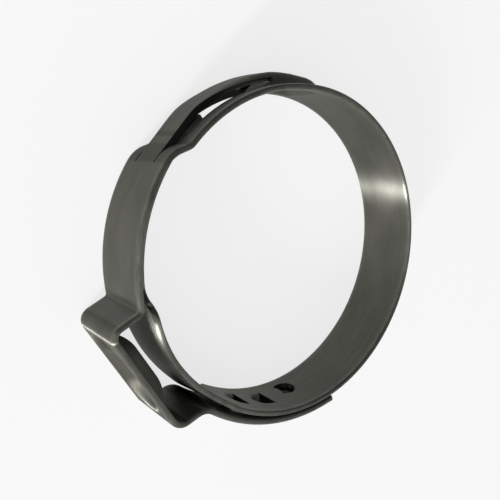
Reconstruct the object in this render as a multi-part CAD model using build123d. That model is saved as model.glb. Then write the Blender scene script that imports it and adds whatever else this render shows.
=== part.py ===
# Stepless ear clamp: one strip of stainless steel, slit, pierced, bent into a ring and hooked closed.
# Frame: +Z is the axis of the ring, the origin is on it at mid width, the ear lies towards -X -Y.
# Angles run round +Z from +X. Along the strip, from tongue tip to free end, the angle grows.
# A rise is how far the middle of the strip stands outside the middle of the ring's own layer.
from math import asin, atan2, copysign, cos, degrees, radians, sin
import os

from build123d import *

# Strip and ring
strip_width = 7.0
strip_thickness = 0.6
edge_bevel = 0.18
bore_radius = 16.05

# Clearances between the layers, measured from surface to surface
layer_gap = 0.05
tongue_clearance = 0.2
band_clearance = 0.45

half_width = strip_width / 2
half_thickness = strip_thickness / 2
ring_radius = bore_radius + half_thickness
skin_radius = bore_radius + strip_thickness
seat_rise = strip_thickness + layer_gap
tongue_rise = strip_thickness + tongue_clearance
band_rise = tongue_rise + strip_thickness + band_clearance

# Ramp under the ear that lifts the inner layer to the tongue: angle and rise
ring_start = 247.0
ramp = [(229.4, 0.2), (210.6, 0.6)]

# Rails beside the bridge, and the joggle out to the outer band
ring_end = 82.75
slit_foot = (101.1, 0.157)
rail_top = (139.87, 0.732)
rail_bend = 1.26
joggle_top = (145.37, band_rise)
joggle_bend = 2.92
band_middle = (167.0, band_rise + 0.15)

# Ear: its plate lies square to ear_angle, and its legs lean
ear_angle = 211.28
ear_length = 11.69
ear_shift = -1.6
ear_height = 3.74
upper_overhang = 0.316
lower_splay = 0.613
upper_foot_rise = band_rise + 0.1
lower_foot_rise = seat_rise + 0.65
upper_foot_bend = 0.6
upper_corner_bend = 0.87
lower_corner_bend = 1.22
lower_foot_bend = 1.8

# Outer end, which closes on the ring towards its free end
end_middle = (256.0, seat_rise + 0.17)
free_end = (284.89, seat_rise + 0.05)

# Tongue and its shoulder
tongue_tip_angle = 128.2
tongue_half_width = 1.35
tongue_corner = 0.35
shoulder_bend = 1.45
shoulder_turn = 75.0
shoulder_foot = 183.0

# Bridge between the two slits
slit_half_width = 1.75
slit_kerf = 0.1
bridge_half_width = slit_half_width - slit_kerf
bridge_crown = (129.92, band_rise - 0.084)
bridge_crown_bend = 3.5
bridge_middle = (117.0, tongue_rise + 0.74)
bridge_foot = (105.2, tongue_rise + 0.605)
bridge_root_bend = 1.0
bridge_root = 0.1

# Pressed channel that carries the bridge back into the ring. Each station is its angle, the rise of
# its top, half width, rounding and the rise of its foot.
wall_foot = 0.05
web_foot = tongue_rise + 0.45
channel_stations = [
    (105.5, tongue_rise + 0.91, bridge_half_width, 0.06, web_foot),
    (101.2, tongue_rise + 0.87, 1.72, 0.16, wall_foot),
    (96.0, tongue_rise + 0.68, 1.85, 0.28, wall_foot),
    (90.0, tongue_rise + 0.4, 2.0, 0.3, wall_foot),
    (84.5, tongue_rise + 0.07, 2.15, 0.3, wall_foot),
]
channel_outer_end = (81.0, 0.1, 2.0, 0.02, wall_foot)
channel_inner_end = (82.4, -0.5, 1.5, 0.02, -0.9)
channel_draft = 0.25
channel_wall = 0.45

# Dimple in the ear plate, pressed by a round-nosed punch
dimple_depth = 1.45
dimple_side_margin = 1.1
dimple_end_margin = 4.045
dimple_rim = 0.45

# Load hooks, cut on one side and pressed outwards through windows in the outer layer
hook_angles = [249.5, 262.3]
hook_height = 0.8
hook_half_width = 1.15
hook_straight = 0.6
hook_sweep = 12.0
window_half_width = 1.65
window_before = 8.6
window_after = 0.45
window_corner = 0.4

# Guide hook, a small tab turned out of a round-ended hole
guide_angle = 273.7
guide_offset = -0.88
guide_hole_length = 2.3
guide_hole_width = 2.4
guide_hole_corner = 1.1
guide_tab_width = 1.5
guide_tab_lead = 4.6
guide_tab_run = 0.6
guide_tab_bend = 0.55
guide_tab_turn = 75.0
guide_tab_rise = 0.75
guide_window_before = 4.7
guide_window_after = 3.4
guide_window_half = 1.35

# How far a cutting block reaches past what it cuts, in millimetres or in degrees round the ring
overcut = 1.0
slot_overcut = 0.2
window_reach = 2.0


def unit(angle):
    """Direction in the ring's plane at an angle in degrees."""
    return Vector(cos(radians(angle)), sin(radians(angle)), 0)


def spot(angle, rise):
    """Point of the path at an angle and a rise."""
    return unit(angle) * (ring_radius + rise)


def step(point, heading, leg):
    """Point and heading after a leg, which is (bend radius, degrees), left positive, or (0, length)."""
    radius, size = leg
    if radius == 0:
        return point + unit(heading) * size, heading
    turn = copysign(size, radius)
    centre = point + unit(heading + 90) * radius
    return centre - unit(heading + turn + 90) * radius, heading + turn


def walk(start, legs):
    """Point and heading at the end of a run of legs."""
    for leg in legs:
        start = step(*start, leg)
    return start


def side(start, legs, offset):
    """Edges of a run of legs, shifted to the left of the centre line."""
    point, heading = start
    edges = []
    for leg in legs:
        radius, size = leg
        begin = point + unit(heading + 90) * offset
        if radius == 0:
            edges.append(Line(begin, begin + unit(heading) * size))
        else:
            edges.append(JernArc(begin, unit(heading), abs(radius - offset), copysign(size, radius)))
        point, heading = step(point, heading, leg)
    return edges


def strip_face(start, legs, thickness=strip_thickness):
    """Edge-on outline of a run of legs."""
    left = side(start, legs, thickness / 2)
    right = side(start, legs, -thickness / 2)
    caps = [Line(left[0] @ 0, right[0] @ 0), Line(left[-1] @ 1, right[-1] @ 1)]
    return make_face(left + right + caps)


def arc_to(start, target):
    """Leg of an arc that leaves along a heading and ends on a target."""
    point, heading = start
    chord = target - point
    half_turn = asin(unit(heading).cross(chord).Z / chord.length)
    return chord.length / (2 * sin(half_turn)), abs(degrees(2 * half_turn))


def bent(lines, bends):
    """Legs of a chain of lines and arcs whose corners are bent, each to its own radius."""
    wire = Wire(lines)
    for corner, bend in bends:
        wire = wire.fillet_2d(bend, [wire.vertices().sort_by_distance(corner)[0]])
    legs = []
    for edge in wire.order_edges():
        if edge.geom_type == GeomType.LINE:
            legs.append((0, edge.length))
        else:
            turning = (edge % 0).cross(edge % 1).Z
            legs.append((copysign(edge.radius, turning), degrees(edge.length / edge.radius)))
    return legs


def across(face, half):
    """Solid of an outline reaching the same distance to both sides of mid width."""
    return extrude(face, half, both=True)


def sector(inner, outer, begin, end):
    """Flat ring sector between two radii and two angles."""
    arcs = [CenterArc((0, 0), inner, begin, end - begin), CenterArc((0, 0), outer, begin, end - begin)]
    return make_face(arcs + [Line(arcs[0] @ 0, arcs[1] @ 0), Line(arcs[0] @ 1, arcs[1] @ 1)])


def on_ring(angle, radius, z=0):
    """Plane facing outwards on the ring: x along the strip, y along the axis."""
    return Plane(unit(angle) * radius + Vector(0, 0, z), x_dir=unit(angle + 90), z_dir=unit(angle))


# Corners of the ear, and its feet on the outer band and on the outer end
plate_out = unit(ear_angle)
plate_run = unit(ear_angle + 90)
upper_reach = ear_length / 2 - ear_shift
lower_reach = ear_length / 2 + ear_shift
plate_base = plate_out * (ring_radius + ear_height)
upper_corner = plate_base - plate_run * upper_reach
lower_corner = plate_base + plate_run * lower_reach
upper_turn = degrees(asin((upper_reach - upper_overhang) / (ring_radius + upper_foot_rise)))
lower_turn = degrees(asin((lower_reach + lower_splay) / (ring_radius + lower_foot_rise)))
upper_foot = spot(ear_angle - upper_turn, upper_foot_rise)
lower_foot = spot(ear_angle + lower_turn, lower_foot_rise)

# Path forwards from the ring to the free end
forward = (spot(ring_end, 0), ring_end + 90)
rail_rise = arc_to(forward, spot(*slit_foot))
slit_start = walk(forward, [rail_rise])
rail = arc_to(slit_start, spot(*rail_top))
rail_arcs = side(forward, [rail_rise, rail], 0)
bends = [
    (spot(*rail_top), rail_bend),
    (spot(*joggle_top), joggle_bend),
    (upper_foot, upper_foot_bend),
    (upper_corner, upper_corner_bend),
    (lower_corner, lower_corner_bend),
    (lower_foot, lower_foot_bend),
]
chain = rail_arcs + [
    Line(spot(*rail_top), spot(*joggle_top)),
    ThreePointArc(spot(*joggle_top), spot(*band_middle), upper_foot),
    Line(upper_foot, upper_corner),
    Line(upper_corner, lower_corner),
    Line(lower_corner, lower_foot),
    ThreePointArc(lower_foot, spot(*end_middle), spot(*free_end)),
]
full_path = bent(chain, bends)
rails = full_path[1:5]

# Path backwards from the ring, up the ramp and round on the tongue's own circle
backward = (spot(ring_start, 0), ring_start - 90)
tongue_radius = ring_radius + tongue_rise
lead_in = []
for target in ramp:
    lead_in.append(arc_to(walk(backward, lead_in), spot(*target)))
ramp_end, ramp_heading = walk(backward, lead_in)
inwards = unit(ramp_heading - 90)
merge_radius = (tongue_radius**2 - ramp_end.length**2) / (2 * (tongue_radius + ramp_end.dot(inwards)))
merge_centre = ramp_end + inwards * merge_radius
merge_angle = degrees(atan2(merge_centre.Y, merge_centre.X)) % 360
lead_in.append((-merge_radius, ramp_heading + 90 - merge_angle))
lead_in.append((-tongue_radius, merge_angle - tongue_tip_angle))


def rolled_strip(start, legs):
    """Full-width strip along a run of legs, its long edges bevelled."""
    strip = across(strip_face(start, legs), half_width)
    rims = strip.edges().filter_by(lambda e: abs(abs(e.center().Z) - half_width) < 1e-4)
    return chamfer(rims.filter_by(lambda e: abs(e.length - strip_thickness) > 1e-3), edge_bevel)


# Ring, rails, outer band, ear and outer end, at full width
ring_turn = ring_end + 360 - ring_start
outer_strip = rolled_strip((spot(ring_start, 0), ring_start + 90), [(ring_radius, ring_turn)] + full_path)

# Inner layer, which narrows at an S-shaped shoulder to the tongue with its square-cut tip
inner_strip = rolled_strip(backward, lead_in)
shoulder_top = half_width + overcut
with BuildSketch(on_ring(shoulder_foot, ring_radius - overcut)) as shoulder_cut:
    with BuildLine():
        foot = (0, tongue_half_width)
        lower = JernArc(foot, (1, 0), shoulder_bend, shoulder_turn)
        upper = JernArc(lower @ 1, lower % 1, shoulder_bend, -shoulder_turn)
        Polyline(upper @ 1, ((upper @ 1).X, shoulder_top), (0, shoulder_top), foot)
    make_face()
shoulder_waste = extrude(shoulder_cut.sketch, tongue_rise + 2 * overcut)
side_strip = sector(ring_radius, tongue_radius + overcut, tongue_tip_angle - overcut, shoulder_foot)
side_waste = Pos(0, 0, tongue_half_width) * extrude(side_strip, half_width)
waste = shoulder_waste + side_waste
inner_strip = inner_strip - waste - mirror(waste, Plane.XY)
tip_edges = inner_strip.edges().filter_by(lambda e: abs(e.length - strip_thickness) < 1e-3)
tip_edges = tip_edges.sort_by_distance(spot(tongue_tip_angle, tongue_rise))
inner_strip = fillet(tip_edges[:2], tongue_corner)

# Slot between the rails, and the bridge that spans it
slit_end = walk(slit_start, rails)
slot = across(strip_face(slit_start, rails, strip_thickness + 2 * slot_overcut), slit_half_width)
bridge_start = (slit_end[0], slit_end[1] + 180)
bridge_bow = walk(bridge_start, [(0, bridge_root)])[0]
bridge_chain = [
    Line(slit_end[0], bridge_bow),
    Line(bridge_bow, spot(*bridge_crown)),
    ThreePointArc(spot(*bridge_crown), spot(*bridge_middle), spot(*bridge_foot)),
]
bridge_path = bent(bridge_chain, [(bridge_bow, bridge_root_bend), (spot(*bridge_crown), bridge_crown_bend)])
bridge = across(strip_face(bridge_start, bridge_path), bridge_half_width)


def channel_section(angle, rise, half, rounding, foot_rise):
    """Cross-section of the channel in the plane through the axis."""
    crest = ring_radius + rise
    foot = ring_radius + foot_rise
    foot_half = half + channel_draft * (rise - foot_rise)
    corners = [(foot, -foot_half), (foot, foot_half), (crest, half), (crest, -half)]
    section = make_face(Polyline(*corners, close=True))
    section = fillet(section.vertices().sort_by(Axis.X)[-2:], rounding)
    return Plane((0, 0, 0), x_dir=unit(angle), z_dir=unit(angle + 90)) * section


def channel_body(stations, end):
    """Run of the channel and the slope that closes its low end."""
    sections = [channel_section(*station) for station in stations]
    return loft(sections) + loft([sections[-1], channel_section(*end)])


channel = channel_body(channel_stations, channel_outer_end)
groove_stations = []
for angle, rise, half, rounding, foot_rise in channel_stations:
    inner_rise = rise - strip_thickness
    groove_stations.append((angle, inner_rise, half - channel_wall, rounding, channel_inner_end[-1]))
groove = channel_body(groove_stations, channel_inner_end)

# Dimple in the ear plate
plate_middle = plate_base + plate_run * ear_shift
dimple_half_width = half_width - dimple_side_margin
dimple_straight = ear_length - 2 * dimple_end_margin
punch_radius = (dimple_half_width**2 + dimple_depth**2) / (2 * dimple_depth)
punch_stand = half_thickness + punch_radius - dimple_depth
punch_axis = Plane(plate_middle + plate_out * punch_stand, x_dir=plate_out, z_dir=plate_run)


def nosed_rod(radius, length):
    """Rod from a flat end at the origin along +Z to a round nose."""
    nose = CenterArc((0, length), radius, 0, 90)
    outline = [Polyline((0, length + radius), (0, 0), (radius, 0), (radius, length)), nose]
    return revolve(Plane.XZ * make_face(outline), Axis.Z)


def capsule(plane, radius, length):
    """Rod with a round nose at both ends, centred on a plane's origin along its z."""
    half = nosed_rod(radius, length / 2)
    return plane * (half + mirror(half, Plane.XY))


dimple_hollow = capsule(punch_axis, punch_radius, dimple_straight)
dimple_back = capsule(punch_axis, punch_radius + strip_thickness, dimple_straight)
plate_plane = Plane(plate_middle, x_dir=plate_run, z_dir=-plate_out)
inside_ear = Box(ear_length, strip_width, ear_height, align=(Align.CENTER, Align.CENTER, Align.MIN))
dimple_back = dimple_back & (plate_plane * inside_ear)

# Load hooks
nose_radius = (hook_half_width**2 + hook_height**2) / (2 * hook_height)
nose_depth = nose_radius - hook_height


def hook_rod(angle, radius):
    """Round-nosed rod behind the cut of a load hook."""
    cut = unit(angle) * (bore_radius - nose_depth)
    return Plane(cut, x_dir=unit(angle), z_dir=unit(angle - 90)) * nosed_rod(radius, hook_straight)


hooks = []
hook_hollows = []
hook_begin = hook_angles[0] - hook_sweep
hook_zone = sector(ring_radius, ring_radius + ear_height, hook_begin, hook_angles[-1] + hook_sweep)
for angle in hook_angles:
    hooks.append(hook_rod(angle, nose_radius + strip_thickness) & across(hook_zone, half_width))
    hook_hollows.append(hook_rod(angle, nose_radius))

# Windows in the outer layer
layer_middle = skin_radius + layer_gap / 2


def window(begin, end, half, z=0):
    """Opening through the outer layer only."""
    block = Pos(0, 0, z) * across(sector(layer_middle, layer_middle + window_reach, begin, end), half)
    corners = block.edges().filter_by(lambda e: abs(e.length - window_reach) < 1e-3)
    return fillet(corners, window_corner)


windows = [window(angle - window_before, angle + window_after, window_half_width) for angle in hook_angles]
guide_begin = guide_angle - guide_window_before
windows.append(window(guide_begin, guide_angle + guide_window_after, guide_window_half, guide_offset))

# Guide hook and its hole
guide_blank = RectangleRounded(guide_hole_length, guide_hole_width, guide_hole_corner)
guide_hole = on_ring(guide_angle, 0, guide_offset) * extrude(guide_blank, bore_radius + 2 * strip_thickness)
guide_hole = guide_hole & Cylinder(layer_middle, strip_width)
tab_angle = guide_angle - guide_tab_lead
tab_legs = [(ring_radius, guide_tab_run), (-guide_tab_bend, guide_tab_turn), (0, guide_tab_rise)]
guide_tab = across(strip_face((spot(tab_angle, 0), tab_angle + 90), tab_legs), guide_tab_width / 2)
guide_tab = Pos(0, 0, guide_offset) * guide_tab


def dimple_rim_edges(shape):
    """Edges of the dimple that lie in the plate's outer surface."""
    level = plate_plane.offset(-half_thickness)
    reach = half_width - edge_bevel - 0.1

    def belongs(edge):
        ends = [level.to_local_coords(edge @ t) for t in (0, 0.5, 1)]
        return all(abs(p.Z) < 1e-3 and abs(p.Y) < reach and abs(p.X) < ear_length / 2 for p in ends)

    return shape.edges().filter_by(belongs)


# The whole clamp
clamp_band = outer_strip - slot + channel + bridge - groove + inner_strip
clamp_band = clamp_band + dimple_back - dimple_hollow
clamp_band = fillet(dimple_rim_edges(clamp_band), dimple_rim)
clamp_band = clamp_band - windows + hooks - hook_hollows - guide_hole + guide_tab

os.makedirs("parts", exist_ok=True)
export_step(clamp_band, "parts/clamp_band.step")
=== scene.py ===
import math

import bpy
import mathutils.kdtree
import numpy as np
from mathutils import Matrix, Vector
from mathutils.geometry import delaunay_2d_cdt


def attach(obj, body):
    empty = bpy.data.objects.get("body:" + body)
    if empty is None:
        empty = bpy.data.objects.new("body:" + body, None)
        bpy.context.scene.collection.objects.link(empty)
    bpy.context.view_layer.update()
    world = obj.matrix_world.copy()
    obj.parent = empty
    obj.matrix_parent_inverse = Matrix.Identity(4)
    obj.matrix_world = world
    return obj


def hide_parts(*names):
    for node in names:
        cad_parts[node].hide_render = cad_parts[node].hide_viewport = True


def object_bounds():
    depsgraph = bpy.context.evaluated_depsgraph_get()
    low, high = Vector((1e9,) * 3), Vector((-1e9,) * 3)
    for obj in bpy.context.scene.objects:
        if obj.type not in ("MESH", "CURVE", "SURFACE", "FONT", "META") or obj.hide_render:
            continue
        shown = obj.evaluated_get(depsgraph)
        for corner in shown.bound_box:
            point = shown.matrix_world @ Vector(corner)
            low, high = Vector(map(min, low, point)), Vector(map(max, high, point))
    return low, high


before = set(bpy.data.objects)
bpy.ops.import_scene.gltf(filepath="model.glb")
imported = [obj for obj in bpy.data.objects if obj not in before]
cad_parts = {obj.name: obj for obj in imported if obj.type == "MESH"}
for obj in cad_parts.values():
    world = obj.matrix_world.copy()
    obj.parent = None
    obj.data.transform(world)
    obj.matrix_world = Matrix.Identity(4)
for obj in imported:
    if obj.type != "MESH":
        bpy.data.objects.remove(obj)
cad_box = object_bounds()


# The clamp is one strip of stainless spring steel, slit, pierced, pressed, bent into a ring and hooked
# through its own windows. This is its middle line, from the tongue's tip to the free end, in
# millimetres and degrees round the ring. A rise is how far it stands outside the ring's own layer.
STRIP_WIDTH = 7.0
THICKNESS = 0.6
BORE_RADIUS = 16.05
LAYER_GAP = 0.05
TONGUE_GAP = 0.2
BAND_GAP = 0.45
HALF = STRIP_WIDTH / 2
SKIN = THICKNESS / 2
RING_RADIUS = BORE_RADIUS + SKIN
SEAT_RISE = THICKNESS + LAYER_GAP
TONGUE_RISE = THICKNESS + TONGUE_GAP
BAND_RISE = TONGUE_RISE + THICKNESS + BAND_GAP

# Inner layer: the tongue's tip, two places on the ramp under the ear, and the start of the ring
TIP_ANGLE = 128.2
RAMP = [(229.4, 0.2), (210.6, 0.6)]
RING_START = 247.0

# Rails, joggle and outer band, as angle and rise
RING_END = 82.75
SLIT_FOOT = (101.1, 0.157)
RAIL_TOP = (139.87, 0.732)
JOGGLE_TOP = (145.37, BAND_RISE)
BAND_MIDDLE = (167.0, BAND_RISE + 0.15)

# Ear: its plate lies square to its angle, and its legs lean
EAR_ANGLE = 211.28
EAR_LENGTH = 11.69
EAR_SHIFT = -1.6
EAR_HEIGHT = 3.74
UPPER_OVERHANG = 0.316
LOWER_SPLAY = 0.613
UPPER_FOOT_RISE = BAND_RISE + 0.1
LOWER_FOOT_RISE = SEAT_RISE + 0.65

# Outer end, which closes on the ring
END_MIDDLE = (256.0, SEAT_RISE + 0.17)
FREE_END = (284.89, SEAT_RISE + 0.05)

# Bends at the rail's top, the joggle, the ear's upper foot and corner, and its lower corner and foot.
# A bend to the left, towards the ring's centre, counts as positive.
BENDS = [-1.26, 2.92, -0.6, 0.87, 1.22, -1.8]
SAMPLE_STEP = 0.02
CENTRING_STEPS = 8


def unit(degrees):
    turned = np.radians(degrees)
    return np.stack([np.cos(turned), np.sin(turned)], -1)


def spot(angle, rise):
    """Point of the route at an angle and a rise."""
    return unit(angle) * (RING_RADIUS + rise)


def turn_between(one, other):
    """Sine of the turn between two directions times their lengths, positive to the left."""
    return one[..., 0] * other[..., 1] - one[..., 1] * other[..., 0]


def step(point, heading, leg):
    """Point and heading after a leg, which is (bend radius, degrees) or (0, length)."""
    radius, size = leg
    if radius == 0:
        return point + unit(heading) * size, heading
    turned = heading + math.copysign(size, radius)
    centre = point + unit(heading + 90) * radius
    return centre - unit(turned + 90) * radius, turned


def arc_to(point, heading, target):
    """Leg of an arc that leaves along a heading and ends on a target."""
    chord = target - point
    length = math.hypot(*chord)
    half_turn = math.asin(turn_between(unit(heading), chord) / length)
    return length / (2 * math.sin(half_turn)), abs(math.degrees(2 * half_turn))


def straight_to(begin, end):
    """Straight run between two points, as its start, heading and a radius of 0."""
    run = end - begin
    return begin, math.degrees(math.atan2(run[1], run[0])), 0


def arc_through(begin, between, end):
    """Arc to the left through three points, as its start, heading and radius."""
    chords = np.array([between - begin, end - begin])
    reach = [(between @ between - begin @ begin) / 2, (end @ end - begin @ begin) / 2]
    centre = np.linalg.solve(chords, reach)
    x, y = begin - centre
    return begin, math.degrees(math.atan2(y, x)) + 90, math.hypot(x, y)


def stand_off(run, point):
    """How far a point lies to the left of a straight run or arc, and the direction in which that grows."""
    start, heading, radius = run
    square = unit(heading + 90)
    if radius == 0:
        return (point - start) @ square, square
    away = start + square * radius - point
    return radius - math.hypot(*away), away / math.hypot(*away)


def leg_between(radius, begin, end):
    """Leg between two places, each a point and the direction square to the route on its left."""
    (point, square), (end_point, end_square) = begin, end
    if radius == 0:
        return 0, math.hypot(*(end_point - point))
    return radius, abs(math.degrees(math.atan2(turn_between(square, end_square), square @ end_square)))


def bent(runs, bends, end):
    """Legs of a chain of straight runs and arcs whose corners are bent, each to its own radius."""
    legs = []
    place = (runs[0][0], unit(runs[0][1] + 90))
    for before, after, bend in zip(runs, runs[1:], bends):
        centre = after[0]
        for _ in range(CENTRING_STEPS):
            off_before, square_before = stand_off(before, centre)
            off_after, square_after = stand_off(after, centre)
            squares = np.array([square_before, square_after])
            centre = centre + np.linalg.solve(squares, [bend - off_before, bend - off_after])
        foot = (centre - square_before * bend, square_before)
        top = (centre - square_after * bend, square_after)
        legs += [leg_between(before[2], place, foot), leg_between(bend, foot, top)]
        place = top
    return legs + [leg_between(runs[-1][2], place, (end, stand_off(runs[-1], end)[1]))]


def inner_legs():
    """Legs of the tongue's circle and the ramp, found backwards from the ring and turned round."""
    point, heading = spot(RING_START, 0), RING_START - 90
    legs = []
    for target in RAMP:
        legs.append(arc_to(point, heading, spot(*target)))
        point, heading = step(point, heading, legs[-1])
    inwards = unit(heading - 90)
    tongue_radius = RING_RADIUS + TONGUE_RISE
    merge_radius = (tongue_radius**2 - point @ point) / (2 * (tongue_radius + point @ inwards))
    x, y = point + inwards * merge_radius
    merge_angle = math.degrees(math.atan2(y, x)) % 360
    legs.append((-merge_radius, heading + 90 - merge_angle))
    legs.append((-tongue_radius, merge_angle - TIP_ANGLE))
    return [(-radius, degrees) for radius, degrees in reversed(legs)]


def outer_legs():
    """Legs from the end of the ring up the rails, over the joggle, band and ear to the free end."""
    point, heading = spot(RING_END, 0), RING_END + 90
    rise = arc_to(point, heading, spot(*SLIT_FOOT))
    point, heading = step(point, heading, rise)
    rail_radius = arc_to(point, heading, spot(*RAIL_TOP))[0]
    plate = unit(EAR_ANGLE) * (RING_RADIUS + EAR_HEIGHT)
    upper_reach = EAR_LENGTH / 2 - EAR_SHIFT
    lower_reach = EAR_LENGTH / 2 + EAR_SHIFT
    upper_corner = plate - unit(EAR_ANGLE + 90) * upper_reach
    lower_corner = plate + unit(EAR_ANGLE + 90) * lower_reach
    upper_turn = math.asin((upper_reach - UPPER_OVERHANG) / (RING_RADIUS + UPPER_FOOT_RISE))
    lower_turn = math.asin((lower_reach + LOWER_SPLAY) / (RING_RADIUS + LOWER_FOOT_RISE))
    upper_foot = spot(EAR_ANGLE - math.degrees(upper_turn), UPPER_FOOT_RISE)
    lower_foot = spot(EAR_ANGLE + math.degrees(lower_turn), LOWER_FOOT_RISE)
    runs = [
        (point, heading, rail_radius),
        straight_to(spot(*RAIL_TOP), spot(*JOGGLE_TOP)),
        arc_through(spot(*JOGGLE_TOP), spot(*BAND_MIDDLE), upper_foot),
        straight_to(upper_foot, upper_corner),
        straight_to(upper_corner, lower_corner),
        straight_to(lower_corner, lower_foot),
        arc_through(lower_foot, spot(*END_MIDDLE), spot(*FREE_END)),
    ]
    return [rise] + bent(runs, BENDS, spot(*FREE_END))


def trace(point, heading, legs):
    """Start, heading, bend radius and length of each leg of a route."""
    rows = []
    for leg in legs:
        radius, size = leg
        length = size if radius == 0 else math.radians(size) * abs(radius)
        rows.append([*point, heading, radius, length])
        point, heading = step(point, heading, leg)
    rows = np.array(rows)
    return rows[:, :2], rows[:, 2], rows[:, 3], rows[:, 4]


RING_LEG = (RING_RADIUS, RING_END + 360 - RING_START)
ROUTE = inner_legs() + [RING_LEG] + outer_legs()
STARTS, HEADINGS, RADII, LENGTHS = trace(spot(TIP_ANGLE, TONGUE_RISE), TIP_ANGLE + 90, ROUTE)
JOINTS = np.concatenate([[0], np.cumsum(LENGTHS)])
LENGTH = JOINTS[-1]


def leg_at(along):
    return np.clip(np.searchsorted(JOINTS[1:], along, "right"), 0, len(RADII) - 1)


def follow(along):
    """Points of the route at distances along it, and the directions square to it, away from the ring."""
    leg = leg_at(along)
    start, heading, radius = STARTS[leg], HEADINGS[leg], RADII[leg]
    run = along - JOINTS[leg]
    straight = radius == 0
    bend = np.where(straight, 1, radius)
    turned = heading + np.where(straight, 0, np.degrees(run / bend))
    curved = start + (unit(heading + 90) - unit(turned + 90)) * bend[:, None]
    ahead = start + unit(heading) * run[:, None]
    return np.where(straight[:, None], ahead, curved), unit(turned - 90)


SAMPLES = np.arange(0, LENGTH, SAMPLE_STEP)
SAMPLE_ANGLES = np.degrees(np.unwrap(np.arctan2(*follow(SAMPLES)[0].T[::-1])))
SAMPLE_ANGLES += TIP_ANGLE - SAMPLE_ANGLES[0]


def angle_at(along):
    """Angle at a distance along the strip, which counts on past 360 from the tongue's tip."""
    return np.interp(along, SAMPLES, SAMPLE_ANGLES)


def along_at(angle):
    """Distance along the strip at an angle that counts on past 360 from the tongue's tip."""
    return float(SAMPLES[np.argmin(np.abs(SAMPLE_ANGLES - angle))])


# What the press and the bends do to the flat strip: the channel and bridge over the tongue, the long
# dimple that stiffens the ear's plate, the domes of the two load hooks, and the turned-out guide tab.
# A place on the flat strip is its distance along from the tongue's tip and across from the middle.

# The tight bends, at the rail's top, the joggle, and the ear's feet and corners
TIGHT_RADIUS = 3.0
TIGHT_LEGS = [leg for leg, radius in enumerate(RADII) if 0 < abs(radius) < TIGHT_RADIUS]

# Load hooks: a round-nosed dome behind each cut
HOOK_ANGLES = [249.5, 262.3]
HOOKS = [along_at(angle) for angle in HOOK_ANGLES]
HOOK_HEIGHT = 0.8
HOOK_HALF_WIDTH = 1.15
HOOK_STRAIGHT = 0.6
HOOK_RUN = 3.0
HOOK_NOSE = (HOOK_HALF_WIDTH**2 + HOOK_HEIGHT**2) / (2 * HOOK_HEIGHT)

# Guide tab, turned out of its hole at one end
GUIDE_ANGLE = 273.7
GUIDE = along_at(GUIDE_ANGLE)
GUIDE_SIDE = -0.88
GUIDE_ROOT = GUIDE - 0.95
TAB_LENGTH = 1.42
TAB_HALF = 0.75
TAB_BEND = 0.55
TAB_TURN = 75.0

# Slits and the bridge between them, whose stations are angle and rise
SLIT_ANGLE = 101.2
SLIT_START = along_at(360 + SLIT_ANGLE)
SLIT_END = float(JOINTS[TIGHT_LEGS[1] + 1])
SLIT_SIDE = 1.7
BRIDGE_END = follow(np.array([SLIT_END]))[0][0]
BRIDGE_END_ANGLE = float(angle_at(SLIT_END)) - 360
BRIDGE_END_RISE = math.hypot(*BRIDGE_END) - RING_RADIUS
BRIDGE_RISE = [
    (SLIT_ANGLE, 1.36), (109, 1.44), (117, 1.54), (124.5, 1.655), (129.5, 1.717),
    (134, 1.638), (138, 1.588), (142.5, 1.642), (146, 1.77), (BRIDGE_END_ANGLE, BRIDGE_END_RISE),
]
BRIDGE_CURL_RUN = 9.0

# Pressed channel that carries the bridge back into the ring: rise and half width at angles
CHANNEL_RISE = [
    (80.8, 0), (81.6, 0.06), (83.6, 0.42), (85, 0.6), (90, 0.865), (96, 1.09), (SLIT_ANGLE, 1.205),
]
CHANNEL_HALF = [(81, 1.9), (84.5, 2.15), (90, 2.0), (96, 1.85), (SLIT_ANGLE, 1.75)]
CHANNEL_START = along_at(360 + 81)
CHANNEL_SIDE_RUN = 0.42
CHANNEL_WEB_RUN = 1.3

# Twist of the inner layer under the ear: its far edge stands out and its near edge in, at angles
FAR_EDGE_RISE = [
    (203, 0), (208, 0.03), (213, 0.07), (218, 0.12), (224, 0.21),
    (229, 0.33), (236, 0.3), (242, 0.13), (248, 0),
]
NEAR_EDGE_SINK = [
    (203, 0), (213, 0.05), (218, 0.08), (222, 0.13), (226, 0.2),
    (230, 0.19), (236, 0.12), (242, 0.05), (248, 0),
]

# Dimple in the ear's plate, pressed by a round-nosed punch
PLATE = float(JOINTS[TIGHT_LEGS[3] + 1] + JOINTS[TIGHT_LEGS[4]]) / 2
PLATE_REACH = 6.0
DIMPLE_DEPTH = 1.45
DIMPLE_HALF_WIDTH = 2.4
DIMPLE_STRAIGHT = 1.8
DIMPLE_NOSE = (DIMPLE_HALF_WIDTH**2 + DIMPLE_DEPTH**2) / (2 * DIMPLE_DEPTH)

# How far a press mark's rim is blended into the sheet
HOOK_SOFT = 0.45
DIMPLE_SOFT = 0.9


def curve(x, stations):
    """Smooth curve through stations of place and height, level beyond its ends."""
    xs, ys = np.array(stations, float).T
    slopes = np.gradient(ys, xs)
    slopes[0] = slopes[-1] = 0
    x = np.clip(x, xs[0], xs[-1])
    i = np.clip(np.searchsorted(xs, x, "right") - 1, 0, len(xs) - 2)
    gap = xs[i + 1] - xs[i]
    t = (x - xs[i]) / gap
    a = (2 * t**3 - 3 * t**2 + 1) * ys[i] + (t**3 - 2 * t**2 + t) * gap * slopes[i]
    return a + (3 * t**2 - 2 * t**3) * ys[i + 1] + (t**3 - t**2) * gap * slopes[i + 1]


def ease(low, high, x):
    t = np.clip((x - low) / (high - low), 0, 1)
    return t * t * (3 - 2 * t)


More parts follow.
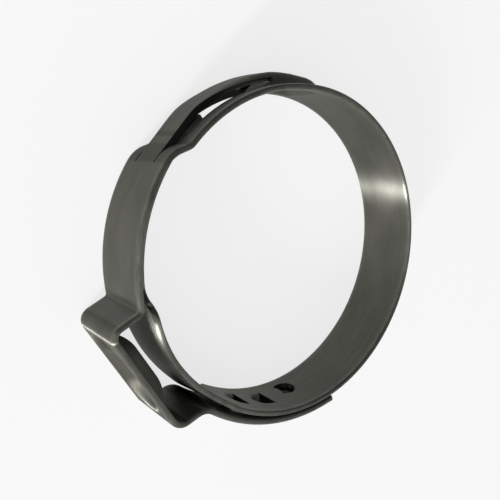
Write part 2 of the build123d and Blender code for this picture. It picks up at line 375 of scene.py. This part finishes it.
def pressed(reach, radius, height, soft):
    """Round-nosed press mark: its height at a distance from its own axis, blended into the sheet."""
    sunk = radius - height
    foot = math.sqrt(radius**2 - sunk**2)
    dome = np.sqrt(np.maximum(radius**2 - np.minimum(reach, foot) ** 2, 0)) - sunk
    slant = dome - np.maximum(reach - foot, 0) * foot / sunk
    blend = np.maximum(soft - np.abs(slant), 0) / soft
    return np.maximum(slant, 0) + blend**2 * soft / 4


def channel_lift(along, across):
    """Height of the pressed channel over the rails, from the slits' ends down to the plain ring."""
    angle = angle_at(along) - 360
    half = curve(angle, CHANNEL_HALF)
    top = 1 - ease(half - CHANNEL_SIDE_RUN, half + CHANNEL_SIDE_RUN, np.abs(across))
    return curve(angle, CHANNEL_RISE) * top


def part_of(along, across):
    """Which part of the sheet a place is on: 0 plain, 1 bridge, 2 guide tab, 3 the domes of the hooks."""
    run = along - GUIDE_ROOT
    tab = (run > 0) & (run < TAB_LENGTH + 0.03) & (np.abs(across - GUIDE_SIDE) < TAB_HALF + 0.002)
    bridge = (along > SLIT_START) & (along < SLIT_END) & (np.abs(across) < SLIT_SIDE)
    dome = np.zeros(len(along), bool)
    for place in HOOKS:
        dome |= (along < place) & (along > place - HOOK_RUN)
    return np.select([bridge, tab, dome], [1, 2, 3], 0)


def bridge_middle(along, across):
    """Points of the bridge: bowed from the channel to the joggle, and curled across at the channel."""
    curl = channel_lift(np.full_like(along, SLIT_START), across) - CHANNEL_RISE[-1][1]
    curl = curl * (1 - ease(0, BRIDGE_CURL_RUN, along - SLIT_START))
    share = np.clip((along - SLIT_START) / (SLIT_END - SLIT_START), 0, 1)
    angle = SLIT_ANGLE + share * (BRIDGE_RISE[-1][0] - SLIT_ANGLE)
    return unit(angle) * (RING_RADIUS + curve(angle, BRIDGE_RISE) + curl)[:, None]


def tab_middle(along):
    """Points of the guide tab: a bend outwards and a straight end."""
    root, out = follow(np.full_like(along, GUIDE_ROOT))
    heading = np.stack([-out[:, 1], out[:, 0]], -1)
    run = along - GUIDE_ROOT
    full_turn = math.radians(TAB_TURN)
    turned = np.clip(run / TAB_BEND, 0, full_turn)
    rest = np.where(run < 0, run, np.maximum(run - TAB_BEND * full_turn, 0))
    ahead = TAB_BEND * np.sin(turned) + rest * np.cos(turned)
    above = TAB_BEND * (1 - np.cos(turned)) + rest * np.sin(turned)
    return root + heading * ahead[:, None] + out * above[:, None]


def middle(along, across, part):
    """Points of the strip's middle surface for places on the flat strip."""
    point, out = follow(along)
    web = 1 - ease(0, CHANNEL_WEB_RUN, along - SLIT_START)
    lift = channel_lift(np.minimum(along, SLIT_START), across) * web
    angle = angle_at(along)
    nearness = (1 + across / HALF) / 2
    lift += curve(angle, FAR_EDGE_RISE) * (1 - nearness) - curve(angle, NEAR_EDGE_SINK) * nearness
    reach = np.hypot(np.maximum(np.abs(along - PLATE) - DIMPLE_STRAIGHT, 0), across)
    dimple = -pressed(reach, DIMPLE_NOSE + SKIN, DIMPLE_DEPTH, DIMPLE_SOFT)
    lift = np.where(np.abs(along - PLATE) < PLATE_REACH, dimple, lift)
    for place in HOOKS:
        near = (part == 3) & (along > place - HOOK_RUN - 0.1) & (along < place + 0.1)
        reach = np.hypot(np.maximum(place - along - HOOK_STRAIGHT, 0), across)
        lift = np.where(near, pressed(reach, HOOK_NOSE + SKIN, HOOK_HEIGHT, HOOK_SOFT), lift)
    point = point + out * lift[:, None]
    point = np.where((part == 1)[:, None], bridge_middle(along, across), point)
    point = np.where((part == 2)[:, None], tab_middle(along), point)
    return np.concatenate([point, across[:, None]], 1)


# The flat strip as the press tool cuts it: its outer outline, then its slits, windows, hook cuts and
# guide hole. Each comes with how far its edge is rounded: full on the rolled long edges, and only
# as far as a burr is broken where the strip is cut.
TONGUE_HALF = 1.35
TONGUE_CORNER = 0.35
SHOULDER = along_at(183)
SHOULDER_BEND = 1.45
SHOULDER_TURN = 75.0
SHOULDER_LENGTH = 2 * SHOULDER_BEND * math.sin(math.radians(SHOULDER_TURN))
FREE_CORNER = 0.15
KERF = 0.1
KERF_CORNER = 0.045
HOOK_KERF = 0.06
HOOK_KERF_CORNER = 0.028
HOOK_CUT_HALF = 1.55
WINDOW_HALF = 1.65
WINDOW_BEFORE = 5.9
WINDOW_AFTER = 0.45
WINDOW_CORNER = 0.4
GUIDE_WINDOW_HALF = 1.35
GUIDE_WINDOW_BEFORE = 4.7
GUIDE_WINDOW_AFTER = 0.9
GUIDE_HOLE_HALF_LENGTH = 1.15
GUIDE_HOLE_HALF_WIDTH = 1.2
GUIDE_HOLE_CORNER = 1.1
TAB_CHAMFER = 0.3
TAB_GAP = 0.01

# How far edges are rounded
ROLLED_ROUND = 0.25
TONGUE_ROUND = 0.07
FREE_ROUND = 0.08
SLIT_ROUND = 0.05
WINDOW_ROUND = 0.06
ROUND_SMOOTHING = 4

# Spacing of outline points on straight sides, round windows, round the tab and round narrow cuts
SIDE_SPACING = 0.26
TAB_SPACING = 0.14
WINDOW_SPACING = 0.08
KERF_SPACING = 0.03


def arc_points(centre, radius, begin, end, count):
    """Points on an arc between two directions in degrees."""
    return np.array(centre) + radius * unit(np.linspace(begin, end, count))


def rounded(along_low, along_high, across_low, across_high, radius, spacing):
    """Outline of a rectangle on the flat strip with rounded corners."""
    corners = np.array([
        (along_low, across_low), (along_low, across_high),
        (along_high, across_high), (along_high, across_low),
    ])
    points = []
    count = max(3, int(math.pi / 2 * radius / spacing) + 2)
    for number, corner in enumerate(corners):
        centre = corner + np.sign(corners[number - 2] - corner) * radius
        points.append(arc_points(centre, radius, 270 - 90 * number, 180 - 90 * number, count))
    return spaced(np.concatenate(points), SIDE_SPACING)


def spaced(points, widest):
    """Outline with its long sides divided."""
    out = []
    for a, b in zip(points, np.roll(points, -1, 0)):
        parts = max(1, math.ceil(math.hypot(*(b - a)) / widest))
        for k in range(parts):
            out.append(a + (b - a) * k / parts)
    return np.array(out)


def outer_outline():
    """Outline of the flat strip, from the tongue's tip over the S-shaped shoulders to the free end."""
    low_centre = (SHOULDER, TONGUE_HALF + SHOULDER_BEND)
    high_centre = (SHOULDER + SHOULDER_LENGTH, HALF - SHOULDER_BEND)
    low_bend = arc_points(low_centre, SHOULDER_BEND, -90, SHOULDER_TURN - 90, 14)
    high_bend = arc_points(high_centre, SHOULDER_BEND, SHOULDER_TURN + 90, 90, 14)[1:]
    tip_centre = (TONGUE_CORNER, TONGUE_HALF - TONGUE_CORNER)
    tip = arc_points(tip_centre, TONGUE_CORNER, 90, 180, 6)
    side = np.concatenate([low_bend, high_bend])
    flip = np.array([1, -1])
    free = [
        (LENGTH - FREE_CORNER, -HALF), (LENGTH, -HALF + FREE_CORNER),
        (LENGTH, HALF - FREE_CORNER), (LENGTH - FREE_CORNER, HALF),
    ]
    return spaced(np.concatenate([tip[::-1] * flip, side * flip, free, side[::-1], tip]), SIDE_SPACING)


def guide_hole():
    """Outline of the round-ended hole with the tab standing in from its end."""
    left, right = GUIDE - GUIDE_HOLE_HALF_LENGTH, GUIDE + GUIDE_HOLE_HALF_LENGTH
    low, high = GUIDE_SIDE - GUIDE_HOLE_HALF_WIDTH, GUIDE_SIDE + GUIDE_HOLE_HALF_WIDTH
    ring = rounded(left, right, low, high, GUIDE_HOLE_CORNER, WINDOW_SPACING)
    at_tab = (np.abs(ring[:, 1] - GUIDE_SIDE) < TAB_HALF + TAB_GAP) & (ring[:, 0] < GUIDE)
    ring = np.roll(ring, -int(np.argmax(at_tab & ~np.roll(at_tab, 1))), 0)[int(np.sum(at_tab)):]
    begin, end = GUIDE_ROOT + 0.05, GUIDE_ROOT + TAB_LENGTH
    tab = [
        (begin, GUIDE_SIDE - TAB_HALF), (end - TAB_CHAMFER, GUIDE_SIDE - TAB_HALF),
        (end, GUIDE_SIDE - TAB_HALF + TAB_CHAMFER), (end, GUIDE_SIDE + TAB_HALF - TAB_CHAMFER),
        (end - TAB_CHAMFER, GUIDE_SIDE + TAB_HALF), (begin, GUIDE_SIDE + TAB_HALF),
    ]
    return spaced(np.concatenate([ring, tab]), TAB_SPACING)


def blank_outlines():
    """Outer outline, then holes and cuts, each with the rounding of its edges."""
    outer = outer_outline()
    rounding = np.where(outer[:, 0] > LENGTH - 0.1, FREE_ROUND, ROLLED_ROUND)
    loops = [(outer, np.where(outer[:, 0] < SHOULDER + SHOULDER_LENGTH / 2 + 0.1, TONGUE_ROUND, rounding))]

    def add(outline, edge_round):
        loops.append((outline, np.full(len(outline), edge_round)))

    for side in (-SLIT_SIDE, SLIT_SIDE):
        low, high = side - KERF / 2, side + KERF / 2
        add(rounded(SLIT_START, SLIT_END, low, high, KERF_CORNER, KERF_SPACING), SLIT_ROUND)
    for angle in HOOK_ANGLES:
        begin, end = along_at(360 + angle - WINDOW_BEFORE), along_at(360 + angle + WINDOW_AFTER)
        add(rounded(begin, end, -WINDOW_HALF, WINDOW_HALF, WINDOW_CORNER, WINDOW_SPACING), WINDOW_ROUND)
    begin = along_at(360 + GUIDE_ANGLE - GUIDE_WINDOW_BEFORE)
    end = along_at(360 + GUIDE_ANGLE + GUIDE_WINDOW_AFTER)
    low, high = GUIDE_SIDE - GUIDE_WINDOW_HALF, GUIDE_SIDE + GUIDE_WINDOW_HALF
    add(rounded(begin, end, low, high, WINDOW_CORNER, WINDOW_SPACING), WINDOW_ROUND)
    for place in HOOKS:
        begin, end = place - HOOK_KERF / 2, place + HOOK_KERF / 2
        cut = rounded(begin, end, -HOOK_CUT_HALF, HOOK_CUT_HALF, HOOK_KERF_CORNER, KERF_SPACING)
        add(cut, SLIT_ROUND)
    add(guide_hole(), WINDOW_ROUND)
    return loops


# The strip's mesh. Points are laid over the flat strip, close together where it is pressed or bent,
# joined to triangles on both faces, and closed round every outline by rows that round its edge.
# Each grid is from, to, half width, and the points' spacing along and across.
EDGE_ROWS = [22.5, 45, 67.5, 90]
WEAR_REACH = 0.4
GRIDS = [(place - 2.4, place + 0.4, 1.9, 0.12, 0.12) for place in HOOKS]
GRIDS.append((GUIDE - 1.6, GUIDE + 1.6, 2.6, 0.13, 0.13))
GRIDS.append((PLATE - 4.7, PLATE + 4.7, 3.2, 0.16, 0.16))
GRIDS.append((CHANNEL_START - 0.6, SLIT_START + 2.0, 2.9, 0.14, 0.11))
GRIDS += [(JOINTS[leg] - 0.3, JOINTS[leg + 1] + 0.3, HALF, 0.11, 0.3) for leg in TIGHT_LEGS]
GRIDS.append((SLIT_START, SLIT_END, SLIT_SIDE, 0.18, 0.3))
GRIDS.append((0, LENGTH, HALF, 0.4, 0.33))


def inside(points, outlines):
    """Which points lie on the material, by counting the outlines that they are within."""
    within = np.zeros(len(points), bool)
    for outline in outlines:
        for (ax, ay), (bx, by) in zip(outline, np.roll(outline, -1, 0)):
            if ay == by:
                continue
            rows = (points[:, 1] >= min(ay, by)) & (points[:, 1] < max(ay, by))
            within ^= rows & (points[:, 0] < ax + (points[:, 1] - ay) * (bx - ax) / (by - ay))
    return within


def edged_outlines():
    """Outlines turned so that the material is on their left, with rounding and outward directions."""
    loops = []
    for number, (points, rounding) in enumerate(blank_outlines()):
        area = np.sum(turn_between(points, np.roll(points, -1, 0)))
        if (area > 0) == (number > 0):
            points, rounding = points[::-1], rounding[::-1]
        for _ in range(ROUND_SMOOTHING):
            rounding = (np.roll(rounding, 1) + 2 * rounding + np.roll(rounding, -1)) / 4
        run = np.roll(points, -1, 0) - np.roll(points, 1, 0)
        away = np.stack([run[:, 1], -run[:, 0]], 1) / np.hypot(*run.T)[:, None]
        loops.append((points, rounding, away))
    return loops


def centres(low, high, spacing):
    """Middles of the equal steps that divide a stretch."""
    count = int((high - low) / spacing) + 1
    return low + (np.arange(count) + 0.5) * (high - low) / count


def grid_points(inset, near_border):
    """Points of the grids that lie on the material, clear of its outlines and of finer grids."""
    chosen = []
    for number, (low, high, half, along_step, across_step) in enumerate(GRIDS):
        rows = np.meshgrid(centres(low, high, along_step), centres(-half, half, across_step), indexing="ij")
        points = np.stack(rows, -1).reshape(-1, 2)
        for begin, end, side, _, _ in GRIDS[:number]:
            along, across = points.T
            points = points[~((along > begin) & (along < end) & (np.abs(across) < side))]
        clear = 0.5 * min(along_step, across_step)
        chosen += [p for p in points[inside(points, inset)] if near_border.find((*p, 0))[2] > clear]
    return np.array(chosen)


def sheet_triangles(flat, inset):
    """Triangles between the points of the flat strip, within its outlines, all turned the same way."""
    borders = []
    first = 0
    for points in inset:
        count = len(points)
        borders += [(first + i, first + (i + 1) % count) for i in range(count)]
        first += count
    _, _, faces, origins, _, _ = delaunay_2d_cdt([Vector(p) for p in flat], borders, [], 0, 1e-7)
    source = [origin[0] if origin else -1 for origin in origins]
    triangles = np.array([[source[i] for i in face] for face in faces if len(face) == 3])
    triangles = triangles[(triangles >= 0).all(1)]
    corners = flat[triangles]
    turn = turn_between(corners[:, 1] - corners[:, 0], corners[:, 2] - corners[:, 0])
    triangles[turn < 0] = triangles[turn < 0][:, ::-1]
    return triangles[inside(corners.mean(1), inset) & (np.abs(turn) > 1e-9)]


def place_sheet(flat, height, rim, tilt):
    """Positions, normals and directions across the grain for flat places at a height and a tilt."""
    along, across = flat.T
    part = part_of(along, across)
    nudge = 0.005
    du = (middle(along + nudge, across, part) - middle(along - nudge, across, part)) / (2 * nudge)
    dv = (middle(along, across + nudge, part) - middle(along, across - nudge, part)) / (2 * nudge)
    out = np.cross(du, dv)
    out /= np.linalg.norm(out, axis=1)[:, None]
    edge = du * rim[:, :1] + dv * rim[:, 1:]
    edge /= np.maximum(np.linalg.norm(edge, axis=1), 1e-9)[:, None]
    normal = out * (np.cos(tilt) * np.sign(height))[:, None] + edge * np.sin(tilt)[:, None]
    over_grain = np.cross(normal, du)
    end_face = np.linalg.norm(over_grain, axis=1) < 0.05
    over_grain[end_face] = dv[end_face]
    over_grain /= np.linalg.norm(over_grain, axis=1)[:, None]
    position = middle(along, across, part) + out * height[:, None]
    position[:, 2] = np.clip(position[:, 2], -HALF, HALF)
    return position, normal, over_grain


# How far the steel is worked: a little in the tight bends, and most where the ear is dimpled
BEND_WORK = 0.6
DIMPLE_WORK = 3.0


def worked_steel(along, across):
    radius = np.abs(RADII[leg_at(along)])
    bends = np.where((radius > 0) & (radius < TIGHT_RADIUS), BEND_WORK, 0.0)
    lengthwise = ease(DIMPLE_STRAIGHT + 3.0, DIMPLE_STRAIGHT + 2.0, np.abs(along - PLATE))
    crosswise = ease(DIMPLE_HALF_WIDTH + 0.8, DIMPLE_HALF_WIDTH, np.abs(across))
    return np.maximum(bends, lengthwise * crosswise * DIMPLE_WORK)


def strip_mesh(name):
    """Both faces and all edges of the strip, with what its material reads at each point."""
    loops = edged_outlines()
    inset = [points - away * rounding[:, None] for points, rounding, away in loops]
    border = np.concatenate(inset)
    near_border = mathutils.kdtree.KDTree(len(border))
    for number, (x, y) in enumerate(border):
        near_border.insert((x, y, 0), number)
    near_border.balance()
    flat = np.concatenate([border, grid_points(inset, near_border)])
    triangles = sheet_triangles(flat, inset)

    count = len(flat)
    outer_count = len(inset[0])
    nearest = [near_border.find((x, y, 0)) for x, y in flat]
    worn = [max(0, 1 - gap / WEAR_REACH) if number < outer_count else 0 for _, number, gap in nearest]
    blank, heights = [flat, flat], [np.full(count, SKIN), np.full(count, -SKIN)]
    rims, tilts = [np.zeros((count, 2))] * 2, [np.zeros(count)] * 2
    wear, cut_and_shade = [np.array(worn)] * 2, [np.zeros(count)] * 2
    polygons = [tuple(t) for t in triangles] + [tuple(t[::-1] + count) for t in triangles]
    total = 2 * count
    first = 0
    turned_rows = [(1, row) for row in EDGE_ROWS] + [(-1, row) for row in EDGE_ROWS[::-1]]
    for number, (points, rounding, away) in enumerate(loops):
        around = np.arange(len(points))
        rows = [around + first]
        for sign, row in turned_rows:
            tilt = math.radians(row)
            blank.append(points - away * (rounding * (1 - math.sin(tilt)))[:, None])
            heights.append(sign * (SKIN - rounding * (1 - math.cos(tilt))))
            rims.append(away)
            tilts.append(np.full(len(points), tilt))
            wear.append(np.full(len(points), float(number == 0)))
            # Edge faces of holes, slits and hook cuts are marked: rougher, and painted darker as shade
            # inside them
            cut_and_shade.append(np.full(len(points), float(number > 0)))
            rows.append(around + total)
            total += len(points)
        rows.append(around + first + count)
        following = np.roll(around, -1)
        for upper, lower in zip(rows, rows[1:]):
            polygons += zip(upper, lower, lower[following], upper[following])
        first += len(points)
    blank, heights = np.concatenate(blank), np.concatenate(heights)
    positions, normals, grain = place_sheet(blank, heights, np.concatenate(rims), np.concatenate(tilts))

    mesh = bpy.data.meshes.new(name)
    mesh.from_pydata((positions / 1000).tolist(), [], [tuple(int(i) for i in p) for p in polygons])
    mesh.polygons.foreach_set("use_smooth", [True] * len(mesh.polygons))
    vectors = {"strip": np.column_stack([blank, heights]), "over_grain": grain}
    for title, values in vectors.items():
        mesh.attributes.new(title, "FLOAT_VECTOR", "POINT").data.foreach_set("vector", values.ravel())
    shares = {"wear": np.concatenate(wear), "cut_and_shade": np.concatenate(cut_and_shade)}
    shares["worked"] = worked_steel(*blank.T)
    for title, values in shares.items():
        mesh.attributes.new(title, "FLOAT", "POINT").data.foreach_set("value", values)
    mesh.normals_split_custom_set_from_vertices(normals.tolist())
    return mesh


# The clamp's steel, as rolled: a satin grey between matt and bright, with fine lines along the strip
# that stretch a highlight across it. Cut faces in the slits, windows, hook cuts and guide hole are rougher,
# and their darker colour is partly the sheared steel's own and partly painted shade inside those holes
# and slits. The long edges are rubbed brighter, and bent or pressed places are duller.
def linear(hex_colour):
    """sRGB hex to linear, with an opaque alpha."""
    parts = [int(hex_colour[i:i + 2], 16) / 255 for i in (1, 3, 5)]
    return [c / 12.92 if c <= 0.04045 else ((c + 0.055) / 1.055) ** 2.4 for c in parts] + [1.0]


def node(tree, kind, links=None, **settings):
    """Adds a node, sets its fields or inputs, and links inputs to other nodes' outputs."""
    made = tree.nodes.new(kind)
    for name, value in settings.items():
        if hasattr(made, name):
            setattr(made, name, value)
        else:
            made.inputs[name.replace("_", " ")].default_value = value
    for name, source in (links or {}).items():
        tree.links.new(made.inputs[name], source)
    return made


def rolled_stainless():
    material = bpy.data.materials.new("rolled stainless strip")
    material.use_nodes = True
    tree = material.node_tree
    surface = tree.nodes["Principled BSDF"]
    surface.inputs["Metallic"].default_value = 1.0
    surface.inputs["Anisotropic"].default_value = 1.0

    def read(title, output="Fac"):
        return node(tree, "ShaderNodeAttribute", attribute_name=title).outputs[output]

    def noise(size, detail, roughness):
        """Noise whose features have a size in millimetres along, across and through the strip."""
        scale = [1 / s for s in size]
        spread = node(tree, "ShaderNodeMapping", {"Vector": place}, Scale=scale).outputs[0]
        settings = {"Scale": 1.0, "Detail": detail, "Roughness": roughness}
        return node(tree, "ShaderNodeTexNoise", {"Vector": spread}, **settings).outputs["Fac"]

    def ranged(value, low, high, to_low, to_high):
        settings = {"From_Min": low, "From_Max": high, "To_Min": to_low, "To_Max": to_high}
        return node(tree, "ShaderNodeMapRange", {"Value": value}, **settings).outputs[0]

    def filled(made, numbers, values):
        """Sets or links a node's numbered inputs."""
        for number, value in zip(numbers, values):
            if isinstance(value, bpy.types.NodeSocket):
                tree.links.new(made.inputs[number], value)
            else:
                made.inputs[number].default_value = value
        return made

    def math_of(operation, one, other):
        made = node(tree, "ShaderNodeMath", operation=operation)
        return filled(made, (0, 1), (one, other)).outputs[0]

    def mixed(share, one, other):
        made = node(tree, "ShaderNodeMix", data_type="RGBA")
        return filled(made, (0, 6, 7), (share, one, other)).outputs[2]

    place = read("strip", "Vector")
    # The rolled lines are far finer, and are drawn this coarse so that they show
    grain = noise((10, 0.1818, 0.1818), 5.0, 0.6)
    cloud = noise((6.25, 2.857, 2.857), 3.0, 0.5)
    pits = noise((0.1429, 0.1111, 0.1111), 2.0, 0.5)
    rub = noise((1.1111, 0.4, 0.4), 4.0, 0.6)
    cut = read("cut_and_shade")
    colour = mixed(ranged(cloud, 0.35, 0.65, 0, 1), linear("#64645E"), linear("#75746C"))
    colour = mixed(ranged(grain, 0.35, 0.68, 0, 0.25), colour, linear("#55554F"))
    polish = math_of("MULTIPLY", math_of("POWER", read("wear"), 1.6), ranged(rub, 0.35, 0.6, 0.25, 1.0))
    colour = mixed(polish, colour, linear("#7A7A73"))
    # Painted shade: cut faces inside holes and slits are darkened, partly for the sheared steel's own finish
    colour = mixed(cut, colour, linear("#4A4A46"))
    tree.links.new(surface.inputs["Base Color"], colour)
    rough = math_of("ADD", ranged(grain, 0.3, 0.7, 0.40, 0.44), ranged(cloud, 0.3, 0.7, -0.03, 0.03))
    rough = math_of("ADD", rough, math_of("MULTIPLY", math_of("MAXIMUM", read("worked"), cut), 0.12))
    rough = math_of("SUBTRACT", rough, math_of("MULTIPLY", polish, 0.08))
    tree.links.new(surface.inputs["Roughness"], rough)
    tree.links.new(surface.inputs["Tangent"], read("over_grain", "Vector"))
    bump = {"Distance": 0.000003}
    lined = node(tree, "ShaderNodeBump", {"Height": grain}, Strength=1.0, **bump).outputs[0]
    pitted = node(tree, "ShaderNodeBump", {"Height": pits, "Normal": lined}, Strength=0.6, **bump)
    tree.links.new(surface.inputs["Normal"], pitted.outputs[0])
    return material


strip = bpy.data.objects.new("strip", strip_mesh("strip"))
bpy.context.collection.objects.link(strip)
strip.data.materials.append(rolled_stainless())
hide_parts("clamp_band")
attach(strip, "root")


# The floor is a plain white sheet that the ring lies on. Seen straight or in the metal it is close
# to full white, and it keeps a soft shadow.
FLOOR_REACH = 1.2
WHITENED = 0.75


def pale_floor():
    material = bpy.data.materials.new("white floor")
    material.use_nodes = True
    tree = material.node_tree
    surface = tree.nodes["Principled BSDF"]
    surface.inputs["Base Color"].default_value = linear("#FFFFFF")
    surface.inputs["Roughness"].default_value = 0.9
    surface.inputs["Specular IOR Level"].default_value = 0.0
    rays = node(tree, "ShaderNodeLightPath").outputs
    direct = {0: rays["Is Camera Ray"], 1: rays["Is Glossy Ray"]}
    direct = node(tree, "ShaderNodeMath", direct, operation="MAXIMUM").outputs[0]
    seen = {0: direct, 1: rays["Is Transmission Ray"]}
    seen = node(tree, "ShaderNodeMath", seen, operation="MAXIMUM").outputs[0]
    share = node(tree, "ShaderNodeMath", {0: seen}, operation="MULTIPLY")
    share.inputs[1].default_value = WHITENED
    white = node(tree, "ShaderNodeEmission", Color=linear("#FFFFFF"), Strength=1.0)
    both = {0: share.outputs[0], 1: surface.outputs[0], 2: white.outputs[0]}
    both = node(tree, "ShaderNodeMixShader", both)
    tree.links.new(tree.nodes["Material Output"].inputs["Surface"], both.outputs[0])
    return material


ground = cad_box[0].z
floor_corners = [(x * FLOOR_REACH, y * FLOOR_REACH, ground) for x, y in ((-1, -1), (1, -1), (1, 1), (-1, 1))]
floor_mesh = bpy.data.meshes.new("floor")
floor_mesh.from_pydata(floor_corners, [], [(0, 1, 2, 3)])
floor_mesh.materials.append(pale_floor())
floor = bpy.data.objects.new("floor", floor_mesh)
bpy.context.collection.objects.link(floor)


# Soft studio light: a world that is darker on one side, a softbox over the camera, and a narrow lamp
# low on the other side, whose light runs across the rolled lines.
DARKER_SIDE = (0.3, 0.75, 0.59)
DARKEST = 0.05
BRIGHTEST = 1.35

world = bpy.data.worlds.new("studio")
bpy.context.scene.world = world
world.use_nodes = True
sky = world.node_tree
ray = node(sky, "ShaderNodeTexCoord").outputs["Generated"]
aside = node(sky, "ShaderNodeVectorMath", {0: ray}, operation="DOT_PRODUCT")
aside.inputs[1].default_value = DARKER_SIDE
span = {"From_Min": -1.0, "From_Max": 1.0, "To_Min": BRIGHTEST, "To_Max": DARKEST}
level = node(sky, "ShaderNodeMapRange", {"Value": aside.outputs["Value"]}, **span)
sky.nodes["Background"].inputs["Color"].default_value = linear("#FFFFFF")
sky.links.new(sky.nodes["Background"].inputs["Strength"], level.outputs[0])


def towards(azimuth, elevation):
    x, y = unit(azimuth) * math.cos(math.radians(elevation))
    return Vector((x, y, math.sin(math.radians(elevation))))


def lamp(name, azimuth, elevation, away, size, watts):
    """Square or oblong lamp at a distance in metres, facing the ring."""
    data = bpy.data.lights.new(name, "AREA")
    data.shape = "RECTANGLE"
    data.size, data.size_y = size
    data.energy = watts
    made = bpy.data.objects.new(name, data)
    made.location = towards(azimuth, elevation) * away
    made.rotation_mode = "QUATERNION"
    made.rotation_quaternion = (-made.location).to_track_quat("-Z", "Y")
    bpy.context.collection.objects.link(made)


lamp("softbox", azimuth=200, elevation=66, away=0.28, size=(0.14, 0.14), watts=0.08)
lamp("low side lamp", azimuth=222, elevation=13, away=1.1, size=(0.095, 0.38), watts=11.9)


# The camera stands where the photograph was taken from, some sixty millimetres off, and is rolled so
# that the ear is at the lower left. The photograph's focal length is in its own pixels.
PHOTO_WIDTH = 500
FOCAL_PIXELS = 587.38
SENSOR = 36
CAMERA_AIM = (-0.0044534, 0.000583, 0)
CAMERA_AWAY = 0.0588063
CAMERA_AZIMUTH = 161.99
CAMERA_ELEVATION = 51.5256
CAMERA_ROLL = 104.28

camera_data = bpy.data.cameras.new("camera")
camera_data.sensor_width = SENSOR
camera_data.lens = SENSOR * FOCAL_PIXELS / PHOTO_WIDTH
camera_data.clip_start = 0.005
camera_data.clip_end = 10
camera = bpy.data.objects.new("camera", camera_data)
back = towards(CAMERA_AZIMUTH, CAMERA_ELEVATION)
sideways = towards(CAMERA_AZIMUTH + 90, 0)
level = Matrix((sideways, back.cross(sideways), back)).transposed()
turn = level @ Matrix.Rotation(math.radians(CAMERA_ROLL), 3, "Z")
camera.matrix_world = Matrix.Translation(Vector(CAMERA_AIM) + back * CAMERA_AWAY) @ turn.to_4x4()
bpy.context.collection.objects.link(camera)
bpy.context.scene.camera = camera
bpy.context.scene.view_settings.view_transform = "Standard"
